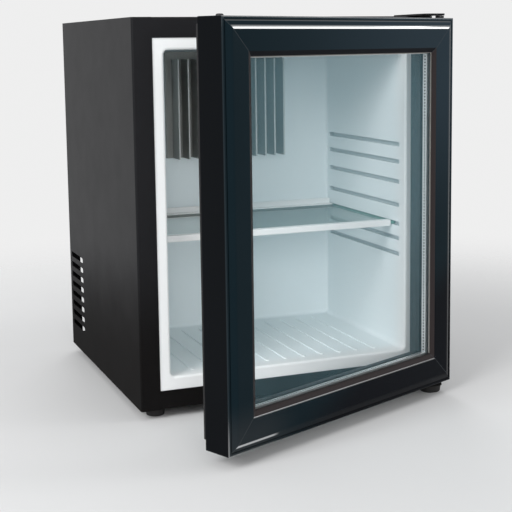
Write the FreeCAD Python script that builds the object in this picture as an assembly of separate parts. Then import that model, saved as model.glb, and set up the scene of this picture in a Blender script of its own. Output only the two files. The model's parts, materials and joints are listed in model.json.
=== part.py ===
import FreeCAD, Part
import math
import os

V = FreeCAD.Vector

# Cabinet shell, in millimetres. X runs to the right, Y to the rear, Z up from the floor.
cabinet_width = 395.0
cabinet_depth = 372.0
cabinet_height = 469.0
foot_height = 12.0
sheet = 1.0
bend_radius = 2.5
side_stile = 24.5
head_rail = 24.0
sill_rail = 23.0
rear_return = 15.0

# Vent slots at the lower rear of both side panels, and air intakes in the base under the rear bay
vent_count = 8
vent_pitch = 14.3
vent_height = 7.5
vent_length = 70.0
vent_rear_margin = 12.0
vent_lowest = 35.5
intake_count = 9
intake_pitch = 32.0
intake_width = 8.0
intake_length = 44.0
intake_rear_margin = 26.0

# White inner liner with its rounded mouth and the grooves that carry the shelf
liner_wall = 2.0
liner_lip = 14.0
liner_sill = 16.0
liner_tuck = 6.0
rear_foam = 40.0
cavity_corner = 6.0
cavity_back_corner = 4.0
mouth_round = 3.0
groove_heights = (162.6, 183.2, 202.2, 227.0, 257.5, 283.5, 306.0)
groove_depth = 6.0
groove_front = 16.0
groove_run_out = 14.0
groove_rear_gap = 8.0
floor_ridge_count = 11
floor_ridge_pitch = 25.0
floor_ridge_width = 4.0
floor_ridge_height = 1.2
floor_ridge_end_gap = 22.0

# Glass shelf in its plastic trims
shelf_groove_count = 3
shelf_glass = 4.0
shelf_front = 36.0
shelf_side_gap = 1.2
shelf_seat_gap = 0.4
shelf_top_gap = 1.2
shelf_rear_gap = 3.0
trim_height = 8.0
trim_depth = 11.0
trim_wall = 1.4
trim_side_gap = 2.0
rear_trim_height = 14.0

# Rear bay with the cooling unit
bay_depth = 90.0
unit_stand_off = 48.0
tube_radius = 8.0
tube_wall = 1.5
tube_bend = 18.0
thin_tube_radius = 6.0
thin_tube_bend = 12.0
boiler_margin = 56.5
boiler_floor_gap = 40.0
boiler_height = 188.0
jacket_radius = 30.0
jacket_round = 4.0
boiler_tube_radius = 9.0
boiler_tube_reach = 8.0
heater_radius = 6.0
heater_length = 130.0
heater_offset = 17.0
heater_cap_radius = 8.0
heater_cap_height = 12.0
vessel_radius = 32.0
vessel_overhang = 20.0
vessel_wall = 2.0
vessel_round = 12.0
vessel_floor_gap = 30.0
vessel_offset = 80.0
coil_runs = 3
coil_pitch = 46.0
coil_first_rise = 28.0
coil_offset = 70.0
coil_control_gap = 22.5
condenser_drop = 36.0
condenser_fall = 10.0
condenser_start = 30.0
exchanger_radius = 9.0
exchanger_bend = 14.0
exchanger_offset = 40.0
exchanger_lower_run = 40.0
solution_dip = 46.0
fin_count = 19
fin_end_gap = 19.5
fin_size = 46.0
fin_sheet = 1.0
bracket_sheet = 2.0
bracket_flange = 18.0
bracket_height = 34.0

# Finned cold plate in the top of the cavity, and the clamp block that holds its tube
plate_thickness = 5.0
plate_shelf_gap = 81.2
plate_top_gap = 4.0
plate_side_margin = 10.0
cold_fin_count = 12
cold_fin_pitch = 14.0
cold_fin_sheet = 1.8
cold_fin_depth = 29.0
cold_fin_top_gap = 10.0
clamp_width = 150.0
clamp_height = 40.0
clamp_depth = 16.0
clamp_fit = 0.3
evaporator_drop = 46.0

# Control box with the thermostat, at the right of the rear bay
control_margin = 18.0
control_width = 46.0
control_depth = 46.0
control_height = 120.0
control_wall = 2.0
control_floor_gap = 170.0
control_lid = 2.5
thermostat_width = 32.0
thermostat_depth = 26.0
thermostat_height = 36.0
thermostat_drop = 32.0
shaft_radius = 3.0
shaft_clearance = 0.05
knob_radius = 14.0
knob_height = 13.0
knob_gap = 0.5
knob_notches = 18
knob_notch_radius = 1.2
gland_radius = 8.0
gland_bore = 3.6
gland_reach = 16.0
gland_thread = 6.0
gland_rise = 30.0
capillary_radius = 1.5
capillary_bend = 8.0
capillary_offset = 55.0
capillary_cover = 5.0
capillary_rise = 46.0

# Feet, hinges and fasteners
foot_radius = 12.5
foot_taper = 1.5
foot_inset = 24.0
foot_rear_inset = 30.0
foot_bore = 2.2
foot_counterbore = 5.0
foot_counterbore_depth = 5.0
screw_radius = 2.0
screw_clearance = 0.1
screw_head_radius = 3.8
screw_head_height = 2.2
screw_grip = 9.0
hinge_plate = 2.2
hinge_plate_width = 30.0
hinge_plate_inset = 4.5
hinge_plate_reach = 44.0
hinge_plate_front = 7.0
hinge_plate_round = 6.0
hinge_screw_first = 12.0
hinge_screw_pitch = 20.0
hinge_screw_sink = 1.5
backing_plate = 2.5
backing_margin = 6.0
pin_radius = 2.5
pin_clearance = 0.05
pin_length = 22.0
bush_radius = 3.6
bush_collar_radius = 5.2
bush_depth = 18.0
bush_gap = 0.4
hinge_foot_radius = 14.5
hinge_foot_inset = 0.6
hinge_foot_setback = 9.5
hinge_foot_boss = 3.0
hinge_foot_boss_offset = 7.0
plug_head_radius = 4.2
plug_head_height = 2.2
plug_depth = 9.0

# Door: mitred frame, double glazing, magnetic gasket
door_top_gap = 3.5
door_floor_gap = 4.5
door_depth = 36.0
gasket_space = 12.0
door_ajar = 23.8
hinge_edge = 10.0
hinge_front = 13.5
rail_width = 35.4
rim_width = 3.2
rim_round = 1.2
rim_groove = 1.2
rim_groove_depth = 1.0
ridge_inset = 11.5
ridge_rise = 3.0
ridge_round = 7.0
lip_rise = 1.7
lip_round = 2.5
bevel_width = 6.0
bevel_drop = 3.0
reveal_depth = 4.0
rebate_width = 10.4
chamber_wall = 4.0
chamber_front_wall = 7.0
chamber_inner_wall = 4.0
key_fit = 0.2
key_arm = 55.0
glass_thickness = 4.0
glass_edge_gap = 0.6
spacer_depth = 6.0
spacer_width = 6.0
spacer_show = 1.7
seal_thickness = 1.5
seal_width = 6.0
seal_show = 1.0
bead_show = 1.6
bead_side_gap = 0.3
bead_slope = 5.0
gasket_inset = 6.5
gasket_width = 18.0
gasket_base = 2.0
gasket_neck_inset = 4.0
gasket_bulb_inset = 1.0
gasket_bulb_height = 5.6
gasket_close_gap = 0.4
gasket_skin = 1.2
gasket_corner = 4.0
magnet_width = 11.0
magnet_thickness = 2.6
dart_inset = 7.0
dart_width = 3.0
dart_depth = 2.4
dart_fit = 0.1

# Places worked out from the sizes above. The cabinet's front face is at Y = 0 until the parts are written.
half_width = cabinet_width / 2
body_bottom = foot_height
body_top = foot_height + cabinet_height
inner_half = half_width - sheet
inner_bottom = body_bottom + sheet
inner_top = body_top - sheet
bay_front = cabinet_depth - bay_depth
unit_y = bay_front + unit_stand_off

lip_half = half_width - side_stile
lip_bottom = body_bottom + sill_rail
lip_top = body_top - head_rail
cavity_half = lip_half - liner_lip
cavity_floor = lip_bottom + liner_sill
cavity_top = lip_top - liner_lip
cavity_back = bay_front - sheet - rear_foam - liner_wall
groove_back = cavity_back - groove_rear_gap
groove_opening = shelf_seat_gap + shelf_glass + shelf_top_gap

door_bottom = body_bottom + door_floor_gap
door_top = body_top - door_top_gap
door_height = door_top - door_bottom
door_back = -gasket_space
door_front = door_back - door_depth
hinge_x = half_width - hinge_edge
hinge_y = door_front + hinge_front
lip_y = door_front - lip_rise
reveal_y = lip_y + reveal_depth
glass_front = reveal_y + seal_thickness
spacer_front = glass_front + glass_thickness
inner_glass_front = spacer_front + spacer_depth
glass_back = inner_glass_front + glass_thickness
rebate = rail_width - rebate_width
opening_inset = rail_width + bevel_width
glass_inset = rebate + glass_edge_gap

control_right = inner_half - control_margin
control_left = control_right - control_width
boiler_x = -inner_half + boiler_margin
boiler_bottom = inner_bottom + boiler_floor_gap
boiler_top = boiler_bottom + boiler_height
vessel_z = inner_bottom + vessel_floor_gap + vessel_radius
vessel_left = boiler_x + vessel_offset
coil_left = boiler_x + coil_offset
coil_right = control_left - coil_control_gap
vessel_right = coil_right + vessel_overhang
vessel_length = vessel_right - vessel_left
coil_bottom = vessel_z + vessel_radius + coil_first_rise
coil_top = coil_bottom + (coil_runs - 1) * coil_pitch
evaporator_z = cavity_top - evaporator_drop
inlet_x = coil_right + tube_radius
outlet_x = boiler_x + exchanger_offset
evaporator_y = cavity_back + clamp_depth
condenser_right_z = inner_top - condenser_drop - condenser_fall
condenser_slope = condenser_fall / (inlet_x - boiler_x)

control_x = (control_left + control_right) / 2
control_bottom = inner_bottom + control_floor_gap
control_top = control_bottom + control_height
control_back = bay_front + control_depth
thermostat_z = control_top - thermostat_drop
heater_x = boiler_x + heater_offset

# The door stands ajar. Its free front corner and the rear returns set the middle of the footprint.
ajar = math.radians(door_ajar)
door_reach = hinge_y - (cabinet_width - hinge_edge) * math.sin(ajar) - hinge_front * math.cos(ajar)
footprint_middle = V(0, -(door_reach + cabinet_depth) / 2, 0)

X = V(1, 0, 0)
Y = V(0, 1, 0)
Z = V(0, 0, 1)


def box(x0, x1, y0, y1, z0, z1):
    return Part.makeBox(x1 - x0, y1 - y0, z1 - z0, V(x0, y0, z0))


def rod(start, direction, radius, length):
    return Part.makeCylinder(radius, length, V(*start), direction)


def edges_along(shape, direction):
    return [e for e in shape.Edges if abs(e.tangentAt(e.FirstParameter).dot(direction)) > 0.999]


def edges_at(shape, low, high, level):
    """Edges that lie flat at one level of a bounding-box side, such as YMin and YMax."""
    return [e for e in shape.Edges
            if abs(getattr(e.BoundBox, low) - level) < 0.001
            and abs(getattr(e.BoundBox, high) - level) < 0.001]


def rounded_box(x0, x1, y0, y1, z0, z1, radius, direction):
    block = box(x0, x1, y0, y1, z0, z1)
    return block.makeFillet(radius, edges_along(block, direction))


def prism(points, travel):
    outline = Part.makePolygon([V(*p) for p in points + points[:1]])
    return Part.Face(outline).extrude(V(*travel))


def rounded_face(corners):
    """Flat face through corner points, each rounded by the radius given with it."""
    ends = []
    edges = []
    after = corners[1:] + corners[:1]
    before = corners[-1:] + corners[:-1]
    for (corner, radius), (last, _), (following, _) in zip(corners, before, after):
        come = (last - corner).normalize()
        leave = (following - corner).normalize()
        half = come.getAngle(leave) / 2
        trim = radius / math.tan(half)
        ends.append((corner + come * trim, corner + leave * trim))
        if radius:
            crown = corner + (come + leave).normalize() * (radius / math.sin(half) - radius)
            edges.append(Part.Arc(ends[-1][0], crown, ends[-1][1]).toShape())
    for (_, start), (end, _) in zip(ends, ends[1:] + ends[:1]):
        edges.append(Part.LineSegment(start, end).toShape())
    return Part.Face(Part.Wire(Part.__sortEdges__(edges)))


def slot(a0, a1, width, travel):
    """Round-ended slot between two end points, cut along the travel."""
    across = (a1 - a0).cross(travel).normalize() * (width / 2)
    ahead = (a1 - a0).normalize() * (width / 2)
    outline = [Part.LineSegment(a0 + across, a1 + across),
               Part.Arc(a1 + across, a1 + ahead, a1 - across),
               Part.LineSegment(a1 - across, a0 - across),
               Part.Arc(a0 - across, a0 - ahead, a0 + across)]
    return Part.Face(Part.Wire([s.toShape() for s in outline])).extrude(travel)


def tube_path(points, bend):
    """Straight runs joined by tangent arcs of one radius."""
    corners = [V(*p) for p in points]
    edges = []
    start = corners[0]
    for before, corner, after in zip(corners, corners[1:], corners[2:]):
        come = (corner - before).normalize()
        leave = (after - corner).normalize()
        turn = come.getAngle(leave)
        trim = bend * math.tan(turn / 2)
        inward = (leave - come).normalize()
        centre = corner + inward * (bend / math.cos(turn / 2))
        arc_start = corner - come * trim
        arc_end = corner + leave * trim
        edges.append(Part.LineSegment(start, arc_start).toShape())
        edges.append(Part.Arc(arc_start, centre - inward * bend, arc_end).toShape())
        start = arc_end
    edges.append(Part.LineSegment(start, corners[-1]).toShape())
    return Part.Wire(edges)


def bar(points, bend, radius):
    path = tube_path(points, bend)
    heading = (V(*points[1]) - V(*points[0])).normalize()
    ring = Part.Wire(Part.Circle(V(*points[0]), heading, radius).toShape())
    return path.makePipeShell([ring], True, False)


def tube(points, bend, radius):
    return bar(points, bend, radius).cut(bar(points, bend, radius - tube_wall))


def screw(seat, direction, grip):
    """Domed screw whose head sits on the seat, with its shank along the direction."""
    head = rod(seat, direction * -1, screw_head_radius, screw_head_height)
    crown = edges_at_far_end(head, V(*seat) - direction * screw_head_height)
    head = head.makeFillet(screw_head_height * 0.6, crown)
    drive = rod(V(*seat) - direction * screw_head_height, direction, screw_radius * 0.7,
                screw_head_height * 0.5)
    return head.cut(drive).fuse(rod(seat, direction, screw_radius, grip)).removeSplitter()


def edges_at_far_end(shape, point):
    return [e for e in shape.Edges
            if e.Curve.TypeId == "Part::GeomCircle" and (e.Curve.Center - point).Length < 0.01]


def screw_hole(seat, direction, depth):
    return rod(seat, direction, screw_radius + screw_clearance, depth)


# Cabinet shell
def side_panel(side):
    """Folded side sheet with a front stile, a rear return and vent slots."""
    wrap = rounded_box(-half_width, half_width, 0, cabinet_depth, body_bottom, body_top, bend_radius, Z)
    hollow = rounded_box(-inner_half, inner_half, sheet, cabinet_depth - sheet, body_bottom, body_top,
                         bend_radius - sheet, Z)
    stile = box(-half_width, -lip_half, 0, cabinet_depth / 2, body_bottom, body_top)
    rear = box(-half_width, -half_width + rear_return, cabinet_depth / 2, cabinet_depth,
               body_bottom, body_top)
    panel = wrap.cut(hollow).common(stile.fuse(rear))
    vent_end = cabinet_depth - vent_rear_margin - vent_height / 2
    vent_start = vent_end - vent_length + vent_height
    for row in range(vent_count):
        height = body_bottom + vent_lowest + row * vent_pitch
        start = V(-half_width - sheet, vent_start, height)
        end = V(-half_width - sheet, vent_end, height)
        panel = panel.cut(slot(start, end, vent_height, X * (3 * sheet)))
    return panel if side < 0 else panel.mirror(V(0, 0, 0), X)


def cross_panel(flange):
    """Folded top sheet between the side panels: front flange, flat sheet and rear return."""
    wrap = rounded_box(-inner_half, inner_half, 0, cabinet_depth, body_bottom, body_top, bend_radius, X)
    hollow = rounded_box(-inner_half, inner_half, sheet, cabinet_depth - sheet, inner_bottom, inner_top,
                         bend_radius - sheet, X)
    middle = cabinet_depth / 2
    level = body_top - bend_radius
    front = box(-lip_half, lip_half, 0, middle, body_top - flange, body_top)
    rear_half = half_width - rear_return
    rear = box(-rear_half, rear_half, middle, cabinet_depth, body_top - rear_return, body_top)
    flat = rounded_box(-inner_half, inner_half, sheet, cabinet_depth - sheet, level, body_top,
                       bend_radius - sheet, Z)
    return wrap.cut(hollow).common(front.fuse(rear).fuse(flat))


def base_panel():
    flip = cross_panel(sill_rail).mirror(V(0, 0, (body_bottom + body_top) / 2), Z)
    end = cabinet_depth - intake_rear_margin
    for row in range(intake_count):
        x = (row - (intake_count - 1) / 2) * intake_pitch
        flip = flip.cut(slot(V(x, end - intake_length, body_bottom - sheet), V(x, end, body_bottom - sheet),
                             intake_width, Z * (3 * sheet)))
    for x, y in foot_places():
        flip = flip.cut(screw_hole((x, y, body_bottom - sheet), Z, 3 * sheet))
    for y in hinge_screw_places():
        flip = flip.cut(screw_hole((hinge_screw_x(), y, body_bottom - sheet), Z, 3 * sheet))
    return flip


def top_panel():
    panel = cross_panel(head_rail)
    for y in hinge_screw_places():
        panel = panel.cut(screw_hole((hinge_screw_x(), y, body_top - 2 * sheet), Z, 3 * sheet))
    return panel


def cavity(grow):
    """The inside of the liner, or its outside when grown by the wall."""
    front = sheet - liner_wall
    space = rounded_box(-cavity_half - grow, cavity_half + grow, front, cavity_back + grow,
                        cavity_floor - grow, cavity_top + grow, cavity_corner + grow, Y)
    back = edges_at(space, "YMin", "YMax", cavity_back + grow)
    space = space.makeFillet(cavity_back_corner + grow, back)
    for height in groove_heights:
        for side in (-1, 1):
            space = space.fuse(groove(side, body_bottom + height, grow))
    return space


def groove(side, height, grow):
    wall = side * (cavity_half - cavity_corner)
    deep = side * (cavity_half + groove_depth + grow)
    mouth = side * cavity_half
    low = height - groove_opening / 2 - grow
    outline = [(wall, groove_front - grow, low), (mouth, groove_front - grow, low),
               (deep, groove_front + groove_run_out - grow, low), (deep, groove_back + grow, low),
               (wall, groove_back + grow, low)]
    return prism(outline, (0, 0, groove_opening + 2 * grow))


def inner_liner():
    tuck_half = lip_half + liner_tuck
    border = rounded_box(-tuck_half, tuck_half, sheet, sheet + liner_wall, lip_bottom - liner_tuck,
                         lip_top + liner_tuck, liner_tuck, Y)
    front_cut = box(-half_width, half_width, -cabinet_depth, sheet, 0, body_top)
    shell = cavity(liner_wall).cut(front_cut).fuse(border).cut(cavity(0))
    mouth = [e for e in edges_at(shell, "YMin", "YMax", sheet) if e.BoundBox.XMax < cavity_half + 0.01
             and e.BoundBox.XMin > -cavity_half - 0.01]
    shell = shell.makeFillet(mouth_round, mouth)
    for row in range(floor_ridge_count):
        x = (row - (floor_ridge_count - 1) / 2) * floor_ridge_pitch
        start = V(x, sheet + floor_ridge_end_gap, cavity_floor - liner_wall / 2)
        end = V(x, cavity_back - floor_ridge_end_gap, cavity_floor - liner_wall / 2)
        shell = shell.fuse(slot(start, end, floor_ridge_width, Z * (liner_wall / 2 + floor_ridge_height)))
    shell = shell.cut(clamp_window(clamp_fit)).cut(capillary_bar(capillary_radius + clamp_fit))
    return shell.removeSplitter()


def clamp_window(grow):
    return box(-clamp_width / 2 - grow, clamp_width / 2 + grow, cavity_back, evaporator_y,
               evaporator_z - clamp_height / 2 - grow, evaporator_z + clamp_height / 2 + grow)


def foam_insulation():
    block = box(-inner_half, inner_half, sheet + liner_wall, bay_front - sheet, inner_bottom, inner_top)
    block = block.cut(cavity(liner_wall)).cut(clamp_window(0)).cut(evaporator_bar(tube_radius))
    block = block.cut(capillary_bar(capillary_radius))
    for x, y in foot_places():
        block = block.cut(screw_hole((x, y, inner_bottom), Z, screw_grip + foot_height))
    for level, away in ((inner_top, Z * -1), (inner_bottom, Z)):
        block = block.cut(backing(level, away))
        for y in hinge_screw_places():
            block = block.cut(screw_hole((hinge_screw_x(), y, level), away, screw_grip + foot_height))
    return block


def rear_bulkhead():
    panel = box(-inner_half, inner_half, bay_front - sheet, bay_front, inner_bottom, inner_top)
    panel = panel.cut(evaporator_bar(tube_radius + screw_clearance))
    return panel.cut(capillary_bar(capillary_radius + clamp_fit))


# Feet, hinges and their fasteners
def foot_places():
    """Round feet stand at three corners; the hinge plate carries the fourth."""
    side = half_width - foot_inset
    rear = cabinet_depth - foot_rear_inset
    return [(-side, foot_inset), (-side, rear), (side, rear)]


def round_foot(x, y):
    body = Part.makeCone(foot_radius - foot_taper, foot_radius, foot_height, V(x, y, 0), Z)
    body = body.makeFillet(foot_taper, edges_at(body, "ZMin", "ZMax", 0))
    bore = rod((x, y, 0), Z, foot_bore, foot_height)
    counterbore = rod((x, y, 0), Z, foot_counterbore, foot_counterbore_depth)
    return body.cut(bore).cut(counterbore)


def foot_screws():
    return [screw((x, y, foot_counterbore_depth), Z, foot_height + screw_grip) for x, y in foot_places()]


def hinge_screw_x():
    return half_width - hinge_plate_inset - hinge_plate_width / 2


def hinge_screw_places():
    first = sheet + hinge_screw_first
    return [first, first + hinge_screw_pitch]


def sunk_head(place, direction, fit):
    """Cone of a screw head that lies flush in the face of its plate."""
    return Part.makeCone(screw_head_radius + fit, screw_radius + fit, hinge_screw_sink, V(*place), direction)


def hinge_arm(face, inward):
    """Flat plate on the cabinet that reaches over the hinge pin, with sunk holes in its outer face."""
    right = half_width - hinge_plate_inset
    level = min(face, face + inward.z * hinge_plate)
    plate = rounded_box(right - hinge_plate_width, right, hinge_y - hinge_plate_front, hinge_plate_reach,
                        level, level + hinge_plate, hinge_plate_round, Z)
    plate = plate.cut(rod((hinge_x, hinge_y, level), Z, pin_radius, hinge_plate))
    for y in hinge_screw_places():
        place = (hinge_screw_x(), y, face)
        plate = plate.cut(screw_hole(place, inward, hinge_plate))
        plate = plate.cut(sunk_head(place, inward, screw_clearance))
    return plate


def lower_hinge_arm():
    plate = hinge_arm(body_bottom - hinge_plate, Z)
    x, y = hinge_foot_place()
    hole = rod((x - hinge_foot_boss_offset, y, 0), Z, hinge_foot_boss + screw_clearance, body_bottom)
    return plate.cut(hole)


def backing(level, away):
    """Steel plate inside the shell that the hinge screws bite into."""
    right = hinge_screw_x() + hinge_plate_width / 2 - backing_margin
    left = right - hinge_plate_width + 2 * backing_margin
    first, last = hinge_screw_places()
    far = level + away.z * backing_plate
    return box(left, right, first - backing_margin, last + backing_margin, min(level, far), max(level, far))


def backing_with_holes(level, away):
    plate = backing(level, away)
    for y in hinge_screw_places():
        plate = plate.cut(screw_hole((hinge_screw_x(), y, level), away, backing_plate))
    return plate


def hinge_screws(face, inward):
    screws = []
    for y in hinge_screw_places():
        place = (hinge_screw_x(), y, face)
        shank = rod(place, inward, screw_radius, hinge_plate + sheet + screw_grip)
        drive = rod(place, inward, screw_radius * 0.7, hinge_screw_sink * 0.7)
        screws.append(sunk_head(place, inward, 0).fuse(shank).cut(drive).removeSplitter())
    return screws


def hinge_pins():
    """Plain pins riveted flush in the two plates."""
    upper = rod((hinge_x, hinge_y, body_top + hinge_plate), Z * -1, pin_radius, pin_length)
    return [upper, rod((hinge_x, hinge_y, body_bottom - hinge_plate), Z, pin_radius, pin_length)]


def hinge_foot_place():
    return half_width - hinge_foot_inset - hinge_foot_radius, hinge_y + hinge_foot_setback


def hinge_foot():
    """Round foot under the lower plate, held by a boss in a hole of the plate."""
    x, y = hinge_foot_place()
    height = body_bottom - hinge_plate
    pad = Part.makeCone(hinge_foot_radius - foot_taper, hinge_foot_radius, height, V(x, y, 0), Z)
    pad = pad.makeFillet(foot_taper, edges_at(pad, "ZMin", "ZMax", 0))
    boss = rod((x - hinge_foot_boss_offset, y, height), Z, hinge_foot_boss, hinge_plate)
    return pad.fuse(boss).removeSplitter()


def bush(level, inward, plate_level):
    """Flanged plastic bush in the door, running on the hinge pin."""
    stand_off = abs(plate_level - level) - bush_gap
    body = rod((hinge_x, hinge_y, level), inward, bush_radius, bush_depth)
    collar = rod((hinge_x, hinge_y, level), inward * -1, bush_collar_radius, stand_off)
    bore = rod(V(hinge_x, hinge_y, level) - inward * stand_off, inward, pin_radius + pin_clearance,
               stand_off + bush_depth)
    return body.fuse(collar).cut(bore).removeSplitter()


def plug(level, inward):
    """Domed cap over the unused hinge hole at the free side of the door."""
    head = rod((-hinge_x, hinge_y, level), inward * -1, plug_head_radius, plug_head_height)
    rim = edges_at(head, "ZMin", "ZMax", level - inward.z * plug_head_height)
    head = head.makeFillet(plug_head_height * 0.9, rim)
    return head.fuse(rod((-hinge_x, hinge_y, level), inward, bush_radius, plug_depth)).removeSplitter()


def hinge_holes(shape):
    """Bush and plug holes at both sides, top and bottom, so that the door can be hung either way."""
    for x in (-hinge_x, hinge_x):
        shape = shape.cut(rod((x, hinge_y, door_bottom), Z, bush_radius, bush_depth))
        shape = shape.cut(rod((x, hinge_y, door_top), Z * -1, bush_radius, bush_depth))
    return shape


# Door frame and glazing
def rail_section():
    """Face of the frame's extrusion: distance in from the door's edge is X, depth is Y."""
    step = door_front + rim_groove_depth
    groove_end = rim_width + rim_groove
    dart = gasket_inset + dart_inset
    slit = dart_width / 2 + dart_fit
    pocket = door_back - dart_depth - dart_fit
    face = rounded_face([
        (V(0, door_back, 0), 0),
        (V(0, door_front, 0), rim_round),
        (V(rim_width, door_front, 0), 0),
        (V(rim_width, step, 0), 0),
        (V(groove_end, step, 0), 0),
        (V(groove_end, door_front, 0), 0),
        (V(ridge_inset, door_front - ridge_rise, 0), ridge_round),
        (V(rail_width, lip_y, 0), lip_round),
        (V(opening_inset, lip_y + bevel_drop, 0), 0),
        (V(opening_inset, reveal_y, 0), 0),
        (V(rebate, reveal_y, 0), 0),
        (V(rebate, door_back, 0), 0),
        (V(dart + slit, door_back, 0), 0),
        (V(dart + slit, pocket, 0), 0),
        (V(dart - slit, pocket, 0), 0),
        (V(dart - slit, door_back, 0), 0),
    ])
    chamber = box(chamber_wall, rebate - chamber_inner_wall, door_front + chamber_front_wall,
                  door_back - chamber_wall, -1, 1)
    return face.cut(chamber)


def bead_section():
    inner = opening_inset + bead_show
    outer = rebate + bead_side_gap
    points = [V(outer, glass_back, 0), V(inner, glass_back, 0), V(inner, glass_back + bead_slope, 0),
              V(inner - bead_slope, door_back, 0), V(outer, door_back, 0)]
    return Part.Face(Part.makePolygon(points + points[:1]))


def frame_bars(section):
    """Four bars of one section, mitred at the corners of the door: left, right, bottom, top."""
    tall = door_height
    wide = cabinet_width
    bars = {}
    for name, length in (("left", tall), ("bottom", wide)):
        solid = section.extrude(Z * length)
        reach = length / 2
        mitre = prism([(0, -cabinet_depth, 0), (0, -cabinet_depth, length),
                       (reach, -cabinet_depth, length - reach), (reach, -cabinet_depth, reach)],
                      (0, 2 * cabinet_depth, 0))
        bars[name] = solid.common(mitre)
    left = bars["left"].translated(V(-half_width, 0, door_bottom))
    lower = bars["bottom"].rotated(V(0, 0, 0), Y, 90).mirror(V(0, 0, 0), Z)
    lower = lower.translated(V(-half_width, 0, door_bottom))
    middle = V(0, 0, (door_bottom + door_top) / 2)
    return {"left": left, "right": left.mirror(V(0, 0, 0), X),
            "bottom": lower, "top": lower.mirror(middle, Z)}


def ring(inset, width, y0, y1, corner=0.0):
    """Rectangular ring round the door, from one depth to another."""
    def loop(step):
        sides = (-half_width + step, half_width - step, y0, y1, door_bottom + step, door_top - step)
        return rounded_box(*sides, corner, Y) if corner else box(*sides)
    return loop(inset).cut(loop(inset + width))


def corner_keys():
    """Moulded angles that join the frame's bars inside their chambers."""
    keys = []
    outer = chamber_wall + key_fit
    width = rebate - chamber_inner_wall - chamber_wall - 2 * key_fit
    y0 = door_front + chamber_front_wall + key_fit
    y1 = door_back - chamber_wall - key_fit
    left = -half_width + outer
    low = door_bottom + outer
    angle = box(left, left + key_arm, y0, y1, low, low + width)
    angle = angle.fuse(box(left, left + width, y0, y1, low, low + key_arm)).removeSplitter()
    middle = V(0, 0, (door_bottom + door_top) / 2)
    for upper in (angle, angle.mirror(middle, Z)):
        keys += [hinge_holes(upper), hinge_holes(upper.mirror(V(0, 0, 0), X))]
    return keys


def glass_pane(front):
    half = half_width - glass_inset
    low = door_bottom + glass_inset
    pane = box(-half, half, front, front + glass_thickness, low, door_top - glass_inset)
    return pane.makeFillet(glass_thickness / 8, pane.Edges)


def gasket():
    """Hollow magnetic seal: base strip with a dart, narrow neck, and the bulb that meets the cabinet."""
    base_top = door_back + gasket_base
    face = -gasket_close_gap
    bulb = face - gasket_bulb_height
    neck_width = gasket_width - 2 * gasket_neck_inset
    bulb_width = gasket_width - 2 * gasket_bulb_inset
    seal = ring(gasket_inset, gasket_width, door_back, base_top, gasket_corner)
    seal = seal.fuse(ring(gasket_inset + gasket_neck_inset, neck_width, base_top, bulb))
    seal = seal.fuse(ring(gasket_inset + gasket_bulb_inset, bulb_width, bulb, face, gasket_corner))
    seal = seal.fuse(ring(gasket_inset + dart_inset - dart_width / 2, dart_width,
                          door_back - dart_depth, door_back))
    pocket = ring(gasket_inset + (gasket_width - magnet_width) / 2, magnet_width,
                  face - gasket_skin - magnet_thickness, face - gasket_skin)
    return seal.cut(pocket).removeSplitter()


def magnets():
    """One flexible magnet strip along each side of the gasket, cut square and butted."""
    inset = gasket_inset + (gasket_width - magnet_width) / 2
    y1 = -gasket_close_gap - gasket_skin
    y0 = y1 - magnet_thickness
    outer = half_width - inset
    low = door_bottom + inset
    high = door_top - inset
    strips = []
    for side in (-1, 1):
        edges = sorted((side * outer, side * (outer - magnet_width)))
        strips.append(box(*edges, y0, y1, low, high))
    strips.append(box(magnet_width - outer, outer - magnet_width, y0, y1, low, low + magnet_width))
    strips.append(box(magnet_width - outer, outer - magnet_width, y0, y1, high - magnet_width, high))
    return strips


# Shelf
def shelf_level():
    return body_bottom + groove_heights[shelf_groove_count - 1] - groove_opening / 2 + shelf_seat_gap


def shelf_pane():
    half = cavity_half + groove_depth - shelf_side_gap
    low = shelf_level()
    rear = groove_back - shelf_rear_gap
    front = shelf_front + trim_wall
    notch = groove_front + groove_run_out
    pane = box(-half, half, max(front, notch), rear, low, low + shelf_glass)
    return pane.makeFillet(shelf_glass / 8, pane.Edges)


def shelf_trim(front, rear, top):
    """White channel over one edge of the glass."""
    half = cavity_half - trim_side_gap
    low = top - trim_height
    body = box(-half, half, front, rear, low, top)
    body = body.makeFillet(trim_wall * 0.8, edges_along(body, X))
    return body.cut(shelf_pane())


def shelf_front_trim():
    top = shelf_level() + shelf_glass + trim_wall
    return shelf_trim(shelf_front, shelf_front + trim_depth, top)


def shelf_rear_trim():
    rear = groove_back - shelf_rear_gap
    top = shelf_level() - trim_wall + rear_trim_height
    half = cavity_half - trim_side_gap
    body = box(-half, half, rear - trim_depth, rear + trim_wall, shelf_level() - trim_wall, top)
    step = box(-half, half, rear - trim_depth, rear - trim_wall, shelf_level() + shelf_glass + trim_wall, top)
    body = body.cut(step)
    return body.makeFillet(trim_wall / 3, edges_along(body, X)).cut(shelf_pane())


# Cold plate and its tube
def evaporator_points():
    rear = bay_front + tube_bend
    return [(inlet_x, rear, evaporator_z), (inlet_x, evaporator_y, evaporator_z),
            (outlet_x, evaporator_y, evaporator_z), (outlet_x, rear, evaporator_z)]


def evaporator_bar(radius):
    return bar(evaporator_points(), tube_bend, radius)


def plate_bottom():
    return shelf_level() + plate_shelf_gap


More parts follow.
